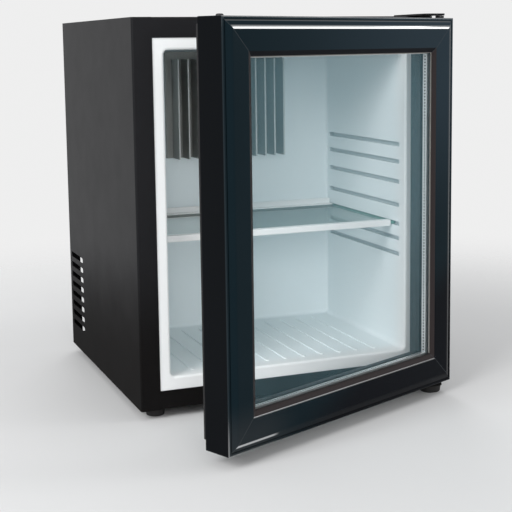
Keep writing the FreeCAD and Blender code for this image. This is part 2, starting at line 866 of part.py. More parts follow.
def cold_plate():
    """Finned aluminium plate on the rear wall of the cavity."""
    half = (cold_fin_count - 1) * cold_fin_pitch / 2 + plate_side_margin
    top = cavity_top - plate_top_gap
    low = plate_bottom()
    block = box(-half, half, cavity_back - plate_thickness, cavity_back, low, top)
    front = cavity_back - plate_thickness - cold_fin_depth
    for row in range(cold_fin_count):
        x = (row - (cold_fin_count - 1) / 2) * cold_fin_pitch
        block = block.fuse(box(x - cold_fin_sheet / 2, x + cold_fin_sheet / 2, front, cavity_back,
                               low, top - cold_fin_top_gap))
    block = block.removeSplitter()
    for x, z in clamp_screw_places():
        block = block.cut(screw_hole((x, cavity_back - plate_thickness, z), Y, plate_thickness))
    return block


def clamp_screw_places():
    """Between the fins, near both ends of the clamp block."""
    pairs = int((clamp_width / 2 - clamp_depth) / cold_fin_pitch)
    x = pairs * cold_fin_pitch
    z = evaporator_z - clamp_height / 2 + clamp_depth / 2
    return [(-x, z), (x, z)]


def clamp_block():
    block = clamp_window(0).cut(evaporator_bar(tube_radius))
    for x, z in clamp_screw_places():
        block = block.cut(screw_hole((x, cavity_back, z), Y, screw_grip + screw_head_height))
    return block


def clamp_screws():
    seat = cavity_back - plate_thickness
    return [screw((x, seat, z), Y, plate_thickness + screw_grip) for x, z in clamp_screw_places()]


# Cooling unit in the rear bay
def condenser_height(x):
    return condenser_right_z + (inlet_x - x) * condenser_slope


def condenser_points():
    start = boiler_x + condenser_start
    return [(start, unit_y, condenser_height(start)), (inlet_x, unit_y, condenser_right_z),
            (inlet_x, unit_y, evaporator_z), (inlet_x, bay_front + tube_bend, evaporator_z)]


def condenser_tube():
    return tube(condenser_points(), tube_bend, tube_radius)


def condenser_fins():
    core = bar(condenser_points(), tube_bend, tube_radius)
    first = boiler_x + condenser_start + fin_end_gap
    last = inlet_x - tube_bend - fin_end_gap
    fins = []
    for row in range(fin_count):
        x = first + (last - first) * row / (fin_count - 1)
        z = condenser_height(x)
        plate = rounded_box(x - fin_sheet / 2, x + fin_sheet / 2,
                            unit_y - fin_size / 2, unit_y + fin_size / 2,
                            z - fin_size / 2, z + fin_size / 2, fin_sheet * 3, X)
        fins.append(plate.cut(core))
    return fins


def rectifier_tube():
    start = boiler_x + condenser_start
    corner = condenser_height(boiler_x)
    points = [(boiler_x, unit_y, boiler_top + boiler_tube_reach), (boiler_x, unit_y, corner),
              (start, unit_y, condenser_height(start))]
    return tube(points, tube_bend, tube_radius)


def boiler_can():
    can = rod((boiler_x, unit_y, boiler_bottom), Z, jacket_radius, boiler_height)
    rims = edges_at(can, "ZMin", "ZMax", boiler_bottom) + edges_at(can, "ZMin", "ZMax", boiler_top)
    return can.makeFillet(jacket_round, rims)


def boiler_bores(shape):
    shape = shape.cut(rod((boiler_x, unit_y, 0), Z, boiler_tube_radius, body_top))
    return shape.cut(rod((heater_x, unit_y, boiler_top - heater_length), Z, heater_radius, body_top))


def boiler_jacket():
    """Insulated can round the boiler, with bores for its tube and its heater."""
    return boiler_bores(boiler_can())


def boiler_tube():
    low = boiler_bottom - boiler_tube_reach
    length = boiler_height + 2 * boiler_tube_reach
    outer = rod((boiler_x, unit_y, low), Z, boiler_tube_radius, length)
    return outer.cut(rod((boiler_x, unit_y, low), Z, boiler_tube_radius - tube_wall, length))


def heater_cartridge():
    """Electric heater in the pocket beside the boiler tube, with a terminal cap on top."""
    stem = rod((heater_x, unit_y, boiler_top - heater_length), Z, heater_radius, heater_length)
    cap = rod((heater_x, unit_y, boiler_top), Z, heater_cap_radius, heater_cap_height)
    cap = cap.cut(rod((boiler_x, unit_y, boiler_top), Z, boiler_tube_radius, heater_cap_height))
    return stem.fuse(cap).removeSplitter()


def absorber_vessel():
    def tank(grow):
        body = rod((vessel_left - grow, unit_y, vessel_z), X, vessel_radius + grow, vessel_length + 2 * grow)
        rims = edges_at(body, "XMin", "XMax", vessel_left - grow)
        rims += edges_at(body, "XMin", "XMax", vessel_right + grow)
        return body.makeFillet(vessel_round + grow, rims)
    shell = tank(0).cut(tank(-vessel_wall))
    shell = shell.cut(rod((coil_right, unit_y, vessel_z), Z, tube_radius, vessel_radius + coil_first_rise))
    return shell.cut(rod((vessel_left - vessel_wall, unit_y, vessel_z), X, thin_tube_radius, 3 * vessel_wall))


def coil_points():
    points = [(coil_right, unit_y, vessel_z + vessel_radius - 2 * vessel_wall)]
    at_right = True
    for run in range(coil_runs):
        level = coil_bottom + run * coil_pitch
        ends = (coil_right, coil_left) if at_right else (coil_left, coil_right)
        points += [(ends[0], unit_y, level), (ends[1], unit_y, level)]
        at_right = not at_right
    last = coil_right if at_right else coil_left
    points.append((last, unit_y, coil_top + exchanger_lower_run))
    return points


def absorber_coil():
    return tube(coil_points(), tube_bend, tube_radius)


def gas_exchanger():
    """Wide tube from the cold plate's outlet down to the top of the absorber coil."""
    end = coil_points()[-1]
    jog = end[2] + exchanger_bend + exchanger_radius
    points = [(outlet_x, bay_front + tube_bend, evaporator_z), (outlet_x, unit_y, evaporator_z),
              (outlet_x, unit_y, jog), (end[0], unit_y, jog), end]
    return tube(points, exchanger_bend, exchanger_radius)


def solution_tube():
    low = vessel_z - solution_dip
    mid = (vessel_left + boiler_x + jacket_radius) / 2
    points = [(vessel_left + vessel_wall, unit_y, vessel_z), (mid, unit_y, vessel_z), (mid, unit_y, low),
              (boiler_x, unit_y, low), (boiler_x, unit_y, boiler_bottom - boiler_tube_reach)]
    return tube(points, thin_tube_bend, thin_tube_radius)


def bracket(x, z0, z1, reach, held):
    """Angle from the bulkhead to a piece of the cooling unit, cut to the shape it holds."""
    web = box(x - bracket_sheet / 2, x + bracket_sheet / 2, bay_front, reach, z0, z1)
    foot = box(x - bracket_sheet / 2, x + bracket_flange, bay_front, bay_front + bracket_sheet, z0, z1)
    angle = web.fuse(foot).removeSplitter()
    solids = angle.cut(held).Solids
    return max(solids, key=lambda s: s.Volume).cut(bracket_hole(x, z0, z1))


def bracket_hole(x, z0, z1):
    return screw_hole((bracket_screw_x(x), bay_front, (z0 + z1) / 2), Y, bracket_sheet)


def bracket_screw_x(x):
    return x + bracket_sheet / 2 + (bracket_flange - bracket_sheet / 2) / 2


def bracket_places():
    """Each bracket's name, its X and its lower and upper ends."""
    half = bracket_height / 2
    vessel_step = vessel_length / 4
    boiler_mid = (boiler_bottom + boiler_top) / 2
    left_x = boiler_x + condenser_start + tube_radius
    right_x = inlet_x - tube_bend - tube_radius / 2
    coil_x = (coil_left + coil_right) / 2
    return [
        ("vessel", vessel_left + vessel_step, vessel_z - half, vessel_z + half),
        ("vessel", vessel_right - vessel_step, vessel_z - half, vessel_z + half),
        ("boiler", boiler_x, boiler_mid - half, boiler_mid + half),
        ("condenser", left_x, condenser_height(left_x) - half, condenser_height(left_x) + half),
        ("condenser", right_x, condenser_height(right_x) - half, condenser_height(right_x) + half),
        ("coil", coil_x, coil_bottom - half, coil_top + half),
    ]


def brackets(name):
    tank = rod((vessel_left, unit_y, vessel_z), X, vessel_radius, vessel_length)
    held = {"vessel": tank, "boiler": boiler_can(),
            "condenser": bar(condenser_points(), tube_bend, tube_radius),
            "coil": bar(coil_points(), tube_bend, tube_radius)}
    reach = {"vessel": unit_y, "boiler": unit_y, "condenser": unit_y + 2 * tube_radius,
             "coil": unit_y}
    return [bracket(x, z0, z1, reach[kind], held[kind])
            for kind, x, z0, z1 in bracket_places() if kind == name]


def bracket_screws():
    grip = bracket_sheet + sheet
    return [screw((bracket_screw_x(x), bay_front + bracket_sheet, (z0 + z1) / 2), Y * -1, grip)
            for kind, x, z0, z1 in bracket_places()]


def bulkhead_with_holes():
    panel = rear_bulkhead()
    for kind, x, z0, z1 in bracket_places():
        panel = panel.cut(screw_hole((bracket_screw_x(x), bay_front - sheet, (z0 + z1) / 2), Y, sheet))
    return panel


# Controls
def control_box():
    outer = rounded_box(control_left, control_right, bay_front, control_back, control_bottom, control_top,
                        2 * control_wall, Y)
    inner = rounded_box(control_left + control_wall, control_right - control_wall, bay_front + control_wall,
                        control_back, control_bottom + control_wall, control_top - control_wall,
                        control_wall, Y)
    shell = outer.cut(inner)
    return shell.cut(capillary_bar(capillary_radius + clamp_fit))


def control_lid_plate():
    lid = rounded_box(control_left, control_right, control_back, control_back + control_lid, control_bottom,
                      control_top, 2 * control_wall, Y)
    lid = lid.makeFillet(control_lid / 3, edges_at(lid, "YMin", "YMax", control_back + control_lid))
    lid = lid.cut(rod((control_x, control_back, gland_z()), Y, gland_radius - control_wall, control_lid))
    return lid.cut(rod((control_x, control_back, thermostat_z), Y, shaft_radius + 2 * knob_gap, control_lid))


def thermostat_rear():
    return bay_front + control_wall + thermostat_depth


def thermostat():
    body = rounded_box(control_x - thermostat_width / 2, control_x + thermostat_width / 2,
                       bay_front + control_wall, thermostat_rear(), thermostat_z - thermostat_height / 2,
                       thermostat_z + thermostat_height / 2, control_wall, Y)
    body = body.fuse(rod((control_x, thermostat_rear(), thermostat_z), Y, shaft_radius + control_wall,
                         control_back - thermostat_rear() - knob_gap))
    depth = control_back - thermostat_rear() + thermostat_depth / 2
    body = body.cut(rod((control_x, control_back, thermostat_z), Y * -1,
                        shaft_radius + shaft_clearance, depth))
    return body.cut(capillary_bar(capillary_radius))


def thermostat_shaft():
    start = thermostat_rear() - thermostat_depth / 2 + 2 * knob_gap
    end = control_back + control_lid + knob_gap + knob_height / 2
    return rod((control_x, start, thermostat_z), Y, shaft_radius, end - start)


def thermostat_knob():
    """Fluted knob with a raised pointer, pressed on the shaft."""
    face = control_back + control_lid + knob_gap
    body = rod((control_x, face, thermostat_z), Y, knob_radius, knob_height)
    body = body.makeFillet(knob_height / 8, edges_at(body, "YMin", "YMax", face + knob_height))
    for step in range(knob_notches):
        turn = 2 * math.pi * (step + 0.5) / knob_notches
        x = control_x + knob_radius * math.cos(turn)
        z = thermostat_z + knob_radius * math.sin(turn)
        body = body.cut(rod((x, face, z), Y, knob_notch_radius, knob_height))
    pointer = box(control_x - knob_notch_radius / 2, control_x + knob_notch_radius / 2, face + knob_height,
                  face + knob_height + knob_notch_radius / 2, thermostat_z, thermostat_z + knob_radius * 0.8)
    body = body.fuse(pointer)
    return body.cut(rod((control_x, face, thermostat_z), Y, shaft_radius, knob_height / 2)).removeSplitter()


def gland_z():
    return control_bottom + gland_rise


def cable_gland():
    """Screwed cable entry in the lid of the control box, open and with no cord in it."""
    face = control_back + control_lid
    z = gland_z()
    nut = rod((control_x, face, z), Y, gland_radius, gland_thread)
    dome = Part.makeCone(gland_radius * 0.9, gland_radius * 0.6, gland_reach - gland_thread,
                         V(control_x, face + gland_thread, z), Y)
    stub = rod((control_x, face, z), Y * -1, gland_radius - control_wall, gland_thread)
    bore = rod((control_x, face - gland_thread, z), Y, gland_bore, gland_reach + gland_thread)
    return nut.fuse(dome).fuse(stub).cut(bore).removeSplitter()


def capillary_points():
    """From the thermostat through the foam to the back of the cold plate."""
    start_z = thermostat_z
    end_z = plate_bottom() + capillary_rise
    mid_y = bay_front - sheet - capillary_cover
    return [(control_x, bay_front + control_wall + 2 * capillary_radius, start_z),
            (control_x, mid_y, start_z),
            (capillary_offset, mid_y, end_z), (capillary_offset, cavity_back, end_z)]


def capillary_bar(radius):
    return bar(capillary_points(), capillary_bend, radius)


def cabinet_nodes():
    rails = [(-1, "left_side_panel"), (1, "right_side_panel")]
    nodes = {name: side_panel(side) for side, name in rails}
    nodes["top_panel"] = top_panel()
    nodes["base_panel"] = base_panel()
    nodes["inner_liner"] = inner_liner()
    nodes["foam_insulation"] = foam_insulation()
    nodes["rear_bulkhead"] = bulkhead_with_holes()
    nodes["round_feet"] = [round_foot(x, y) for x, y in foot_places()]
    nodes["hinge_foot"] = hinge_foot()
    nodes["foot_screws"] = foot_screws()
    nodes["top_hinge_plate"] = hinge_arm(body_top + hinge_plate, Z * -1)
    nodes["bottom_hinge_plate"] = lower_hinge_arm()
    nodes["hinge_pins"] = hinge_pins()
    nodes["hinge_screws"] = (hinge_screws(body_top + hinge_plate, Z * -1)
                             + hinge_screws(body_bottom - hinge_plate, Z))
    nodes["hinge_backing_plates"] = [backing_with_holes(inner_top, Z * -1),
                                     backing_with_holes(inner_bottom, Z)]
    nodes["cold_plate"] = cold_plate()
    nodes["clamp_block"] = clamp_block()
    nodes["clamp_screws"] = clamp_screws()
    nodes["evaporator_tube"] = tube(evaporator_points(), tube_bend, tube_radius)
    nodes["condenser_tube"] = condenser_tube()
    nodes["condenser_fins"] = condenser_fins()
    nodes["rectifier_tube"] = rectifier_tube()
    nodes["boiler_jacket"] = boiler_jacket()
    nodes["boiler_tube"] = boiler_tube()
    nodes["heater_cartridge"] = heater_cartridge()
    nodes["absorber_vessel"] = absorber_vessel()
    nodes["absorber_coil"] = absorber_coil()
    nodes["gas_exchanger"] = gas_exchanger()
    nodes["solution_tube"] = solution_tube()
    for name in ("vessel", "boiler", "condenser", "coil"):
        nodes[name + "_brackets"] = brackets(name)
    nodes["bracket_screws"] = bracket_screws()
    nodes["control_box"] = control_box()
    nodes["control_lid"] = control_lid_plate()
    nodes["thermostat"] = thermostat()
    nodes["thermostat_shaft"] = thermostat_shaft()
    nodes["thermostat_knob"] = thermostat_knob()
    nodes["thermostat_capillary"] = capillary_bar(capillary_radius)
    nodes["cable_gland"] = cable_gland()
    return nodes


def shelf_nodes():
    return {"shelf_glass": shelf_pane(), "shelf_front_trim": shelf_front_trim(),
            "shelf_rear_trim": shelf_rear_trim()}


def door_nodes():
    nodes = {}
    for side, rail in frame_bars(rail_section()).items():
        nodes["door_rail_" + side] = hinge_holes(rail)
    nodes["glazing_beads"] = list(frame_bars(bead_section()).values())
    nodes["door_corner_keys"] = corner_keys()
    nodes["outer_glass"] = glass_pane(glass_front)
    nodes["inner_glass"] = glass_pane(inner_glass_front)
    spacer_inset = opening_inset + spacer_show - spacer_width
    nodes["glass_spacer"] = ring(spacer_inset, spacer_width, spacer_front, inner_glass_front)
    nodes["edge_sealant"] = ring(glass_inset, spacer_inset - glass_inset, spacer_front, inner_glass_front)
    nodes["glazing_seal"] = ring(opening_inset + seal_show - seal_width, seal_width, reveal_y, glass_front)
    nodes["door_gasket"] = gasket()
    nodes["gasket_magnets"] = magnets()
    nodes["hinge_bushes"] = [bush(door_top, Z * -1, body_top), bush(door_bottom, Z, body_bottom)]
    nodes["hinge_hole_plugs"] = [plug(door_top, Z * -1), plug(door_bottom, Z)]
    return nodes


def write(nodes, swing):
    for name, shape in nodes.items():
        solid = Part.makeCompound(shape) if isinstance(shape, list) else shape
        if swing:
            solid = solid.rotated(V(hinge_x, hinge_y, 0), Z, door_ajar)
        solid.translated(footprint_middle).exportStep(os.path.join("parts", name + ".step"))


os.makedirs("parts", exist_ok=True)
write(cabinet_nodes(), False)
write(shelf_nodes(), False)
write(door_nodes(), True)
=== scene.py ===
import json
import math

import bpy
from mathutils import Matrix, Vector


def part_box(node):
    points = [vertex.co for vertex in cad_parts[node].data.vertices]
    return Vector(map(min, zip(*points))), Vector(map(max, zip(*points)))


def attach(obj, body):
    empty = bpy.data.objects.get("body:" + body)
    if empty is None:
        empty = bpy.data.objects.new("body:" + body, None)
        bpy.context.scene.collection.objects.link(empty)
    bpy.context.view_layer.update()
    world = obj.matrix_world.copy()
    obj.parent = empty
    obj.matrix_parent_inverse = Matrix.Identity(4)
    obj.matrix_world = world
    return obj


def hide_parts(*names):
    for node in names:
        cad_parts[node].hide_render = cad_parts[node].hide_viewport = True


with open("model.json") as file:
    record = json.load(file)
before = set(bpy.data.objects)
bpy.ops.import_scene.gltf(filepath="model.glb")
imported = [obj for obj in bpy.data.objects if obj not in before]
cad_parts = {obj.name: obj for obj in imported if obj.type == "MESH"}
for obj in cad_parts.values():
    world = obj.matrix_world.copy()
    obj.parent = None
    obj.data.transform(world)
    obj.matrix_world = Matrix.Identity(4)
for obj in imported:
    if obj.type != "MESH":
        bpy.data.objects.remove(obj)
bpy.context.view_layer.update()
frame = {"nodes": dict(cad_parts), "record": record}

MM = 0.001

# Camera fitted to the corners of the cabinet and the door, in a square image; places in metres
image_px = 512
focal_px = 1177.6
optical_axis_px = (268.2, 202.96)
camera_from_front = (-0.56142, -1.32645)
camera_above_body = 0.43666
camera_turn = math.radians(21.81)
camera_tilt = math.radians(7.70)
camera_roll = math.radians(-0.68)
sensor_width = 36.0

# The door hangs on its hinge and stands ajar; shut is the hinge's lower limit
door_joint = next(j for j in frame["record"]["behaviour"]["joints"] if j["name"] == "door_hinge")
hinge_place = Vector(door_joint["pos_m"])
door_ajar = -math.radians(door_joint["range_deg"][0])

# Cabinet and door, in metres
cabinet_low, cabinet_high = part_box("left_side_panel")
cabinet_front = cabinet_low.y
half_width = -cabinet_low.x
door_low, door_high = (corner.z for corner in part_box("door_rail_left"))

# Gasket rings on the shut door, in millimetres:
# inset from the door's edge, width, back, front, rounding
gasket_rings = (
    (6.5, 18.0, -12.0, -10.0, 0.6),
    (10.5, 10.0, -10.1, -5.9, 0.3),
    (9.0, 13.0, -9.3, -8.3, 0.4),
    (9.0, 13.0, -7.6, -6.6, 0.4),
    (7.5, 16.0, -6.0, -0.4, 1.4),
)
rounding_steps = 4
crease_angle = math.radians(40)

# Door frame, in millimetres on the shut door: insets of the polished bead and ridge, of the
# polished stretch at the free lower corner whose pale streak is a painted highlight, and of the
# lip where the matt bevel starts
bead_inset = 4.6
ridge_inset = 11.5
streak_inset = 9.4
streak_length = 75.0
lip_inset = 35.4
door_face = cabinet_front / MM - 48.0
door_middle = (door_low + door_high) / MM / 2

# Powder coat, in millimetres: height over which the dulled foot, darker in colour as painted
# shade, ends at the front, and its fall for each millimetre towards the rear
dull_shaded_foot_end = (85, 240)
dull_shaded_foot_fall = 0.13

# Side wall of the cavity, which the shelf's front trim clears, in millimetres
trim_clearance = 2
cavity_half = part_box("shelf_front_trim")[1].x / MM + trim_clearance

# Height of the glazing seal's bottom run above the door's lower edge, in millimetres; the run is
# painted darker as shade
seal_run_end = (42.6, 44)

# Perforations of the glass spacer, in millimetres on the shut door
spacer_dot_pitch = 3.8
spacer_dot_radius = 0.85
spacer_inner_half = half_width / MM - 43.1
spacer_middle = cabinet_front / MM - 37.2

# Floor: size in metres, and distance in millimetres over which it fades into the backdrop
floor_size = 14
floor_fade = (450, 1350)

# Soft boxes: name, place and size in metres, power in watts
soft_boxes = (
    ("key_softbox", (-2.5, -1.5, 1.9), (1.6, 1.6), 74),
    ("front_softbox", (-0.6, -3.0, 1.0), (1.4, 1.0), 28),
    ("top_softbox", (0.2, -0.6, 2.6), (1.6, 1.2), 6),
    ("right_softbox", (2.3, -0.9, 0.95), (0.9, 0.8), 10),
    ("rear_softbox", (0.6, 2.6, 1.9), (1.8, 1.4), 26),
)
fill_strength = 0.45
backdrop_strength = 1.0


class Term:
    """A shader value that can be used in sums."""

    def __init__(self, finish, socket):
        self.finish = finish
        self.socket = socket

    def math(self, operation, first, second=0.0):
        return self.finish.node("ShaderNodeMath", {"operation": operation}, {0: first, 1: second})

    def __add__(self, other):
        return self.math("ADD", self, other)

    def __sub__(self, other):
        return self.math("SUBTRACT", self, other)

    def __rsub__(self, other):
        return self.math("SUBTRACT", other, self)

    def __mul__(self, other):
        return self.math("MULTIPLY", self, other)

    def __truediv__(self, other):
        return self.math("DIVIDE", self, other)

    __radd__ = __add__
    __rmul__ = __mul__

    def __abs__(self):
        return self.math("ABSOLUTE", self)

    def fraction(self):
        return self.math("FRACT", self)

    def root(self):
        return self.math("SQRT", self)

    def greater(self, other):
        return self.math("MAXIMUM", self, other)

    def less(self, other):
        return self.math("MINIMUM", self, other)


class Finish:
    """One procedural material: constants sit on the shader, patterns feed it."""

    def __init__(self, name, **constants):
        self.material = bpy.data.materials.new(name)
        self.material.use_nodes = True
        self.tree = self.material.node_tree
        self.shader = self.tree.nodes["Principled BSDF"]
        self.feed(**constants)
        self.place = self.node("ShaderNodeTexCoord", {}, {}, "Object")

    def join(self, socket, value):
        if isinstance(value, Term):
            self.tree.links.new(value.socket, socket)
        else:
            socket.default_value = value

    def node(self, kind, settings, inputs, output=0):
        made = self.tree.nodes.new(kind)
        for key, value in settings.items():
            setattr(made, key, value)
        for key, value in inputs.items():
            self.join(made.inputs[key], value)
        return Term(self, made.outputs[output])

    def feed(self, **values):
        for key, value in values.items():
            self.join(self.shader.inputs[key.replace("_", " ")], value)

    def noise(self, size_mm, detail=2.0, stretch=(1, 1, 1)):
        """Cloudy pattern from 0 to 1 whose blotches are about size_mm across."""
        spread = self.node("ShaderNodeMapping", {}, {"Vector": self.place, "Scale": stretch})
        return self.node("ShaderNodeTexNoise", {},
                         {"Vector": spread, "Scale": 1 / (size_mm * MM), "Detail": detail})

    def cells(self, per_metre, output):
        """Random cells: their distance or their colour."""
        return self.node("ShaderNodeTexVoronoi", {},
                         {"Vector": self.place, "Scale": per_metre}, output)

    def along(self, axis, turn=0.0, centre=(0, 0, 0)):
        """Distance along X, Y or Z in millimetres, from a centre and turned about Z."""
        moved = self.node("ShaderNodeMapping", {"vector_type": "TEXTURE"},
                          {"Vector": self.place, "Location": centre, "Rotation": (0, 0, turn)})
        return self.node("ShaderNodeSeparateXYZ", {}, {0: moved}, axis) * (1 / MM)

    def behind_front(self):
        """Distance behind the cabinet's front, in millimetres."""
        return self.along(1) - cabinet_front / MM

    def on_shut_door(self):
        """Place across the door and its depth in millimetres, as they are with the door shut."""
        hinge = tuple(hinge_place)
        across = self.along(0, door_ajar, hinge) + hinge_place.x / MM
        depth = self.along(1, door_ajar, hinge) + hinge_place.y / MM
        return across, depth

    def step(self, value, low, high):
        """Soft edge: 0 below low, 1 above high."""
        return self.node("ShaderNodeMapRange", {"interpolation_type": "SMOOTHSTEP"},
                         {"Value": value, "From Min": low, "From Max": high})

    def fade(self, value, low, high):
        """Soft edge: 1 below low, 0 above high."""
        return 1 - self.step(value, low, high)

    def line(self, value, centre, core, edge):
        """Soft line: 1 within core of the centre, 0 beyond edge."""
        return self.fade(abs(value - centre), core, edge)

    def mix(self, factor, first, second):
        return self.node("ShaderNodeMix", {"data_type": "RGBA"},
                         {0: factor, 6: first, 7: second}, 2)

    def relief(self, height, depth_mm, strength=1.0):
        bump = {"Height": height, "Strength": strength, "Distance": depth_mm * MM}
        self.feed(Normal=self.node("ShaderNodeBump", {}, bump))


def rgb(red, green, blue):
    return (red, green, blue, 1.0)


# Finishes
def satin_powder_coat():
    """Satin black powder coat: orange peel, faint cloudiness, handling haze and a dulled foot,
    darker in colour as painted shade.
    """
    finish = Finish("satin_powder_coat", Specular_IOR_Level=0.11)
    cloud = finish.noise(70, 3)
    haze = finish.noise(30, 2)
    height = finish.along(2) + dull_shaded_foot_fall * finish.behind_front() + 30 * cloud
    dull_and_shaded_foot = finish.fade(height, *dull_shaded_foot_end)
    black = finish.mix(cloud, rgb(0.007, 0.0072, 0.0085), rgb(0.0115, 0.0115, 0.013))
    # The foot's darker, warmer black is painted shade; its higher roughness dulls the finish
    finish.feed(Base_Color=finish.mix(dull_and_shaded_foot, black, rgb(0.004, 0.0035, 0.0035)),
                Roughness=0.46 + 0.07 * haze + 0.4 * dull_and_shaded_foot)
    finish.relief(finish.noise(1.3, 2), 0.008, 0.5)
    return finish


def zinc_plate():
    """Zinc-plated sheet with soft spangle and dull patches."""
    finish = Finish("zinc_plate", Metallic=1.0)
    spangle = finish.cells(160.0, "Color")
    grain = finish.node("ShaderNodeSeparateXYZ", {}, {0: spangle}, 0)
    finish.feed(Base_Color=finish.mix(grain, rgb(0.46, 0.47, 0.48), rgb(0.58, 0.59, 0.6)),
                Roughness=0.26 + 0.14 * grain + 0.05 * finish.noise(90, 2))
    finish.relief(finish.noise(0.9, 2), 0.01)
    return finish


def moulded_liner():
    """White vacuum-formed liner: leather-like grain, a bluer white inside as a painted cast of
    shade and of the tinted door glass, and painted shade in the shelf grooves.
    """
    finish = Finish("moulded_liner", Specular_IOR_Level=0.45)
    cloud = finish.noise(90, 2)
    grain = finish.noise(0.8, 3)
    deep = finish.behind_front()
    # Shelf grooves in the side walls: their greyer colour is painted shade
    beside = finish.step(abs(finish.along(0)), cavity_half + 0.4, cavity_half + 2)
    groove_shade = beside * finish.step(deep, 12, 15)
    white = finish.mix(cloud, rgb(0.86, 0.875, 0.875), rgb(0.89, 0.905, 0.905))
    # Bluer white inside the cavity: a painted cast of shade and of the tinted door glass
    white = finish.mix(finish.step(deep, 4, 40), white, rgb(0.86, 0.925, 0.945))
    finish.feed(Base_Color=finish.mix(groove_shade, white, rgb(0.56, 0.62, 0.64)),
                Roughness=0.34 + 0.12 * grain)
    finish.relief(grain, 0.02, 0.5)
    return finish


def white_trim():
    """White extruded trim with faint lines along its length."""
    finish = Finish("white_trim", Specular_IOR_Level=0.5)
    drawn = finish.noise(1.2, 2, (0.05, 1, 1))
    white = finish.mix(finish.noise(40), rgb(0.87, 0.88, 0.875), rgb(0.91, 0.915, 0.91))
    finish.feed(Base_Color=white, Roughness=0.24 + 0.1 * drawn)
    finish.relief(drawn, 0.012)
    return finish


def rigid_foam():
    """Cream foam with small cells."""
    finish = Finish("rigid_foam", Roughness=0.9)
    cells = finish.cells(1400.0, "Distance")
    finish.feed(Base_Color=finish.mix(cells, rgb(0.78, 0.68, 0.42), rgb(0.88, 0.8, 0.56)))
    finish.relief(cells, 0.3)
    return finish


def dark_anodised():
    """Dark extruded aluminium; the sheared front edges of the fins are bare."""
    finish = Finish("dark_anodised", Metallic=0.3)
    drawn = finish.noise(1.0, 3, (1, 1, 0.04))
    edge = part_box("cold_plate")[0].y / MM
    bare = finish.fade(finish.along(1), edge + 0.6, edge + 1.2)
    dark = finish.mix(drawn, rgb(0.25, 0.255, 0.245), rgb(0.32, 0.325, 0.31))
    finish.feed(Base_Color=finish.mix(bare, dark, rgb(0.5, 0.51, 0.5)),
                Roughness=0.38 + 0.16 * drawn)
    finish.relief(drawn, 0.015)
    return finish


def black_lacquer():
    """Lacquered steel tube with drawn marks and dust."""
    finish = Finish("black_lacquer", Specular_IOR_Level=0.45)
    dust = finish.step(finish.noise(6, 5), 0.5, 0.8)
    finish.feed(Base_Color=finish.mix(dust, rgb(0.018, 0.018, 0.02), rgb(0.06, 0.058, 0.055)),
                Roughness=0.32 + 0.3 * dust)
    finish.relief(finish.noise(2.2, 3), 0.03)
    return finish


def mill_aluminium():
    """Rolled aluminium as it leaves the mill."""
    finish = Finish("mill_aluminium", Metallic=1.0)
    rolled = finish.noise(0.7, 3, (1, 0.06, 1))
    finish.feed(Base_Color=finish.mix(rolled, rgb(0.6, 0.61, 0.62), rgb(0.74, 0.75, 0.76)),
                Roughness=0.28 + 0.2 * rolled)
    finish.relief(rolled, 0.008)
    return finish


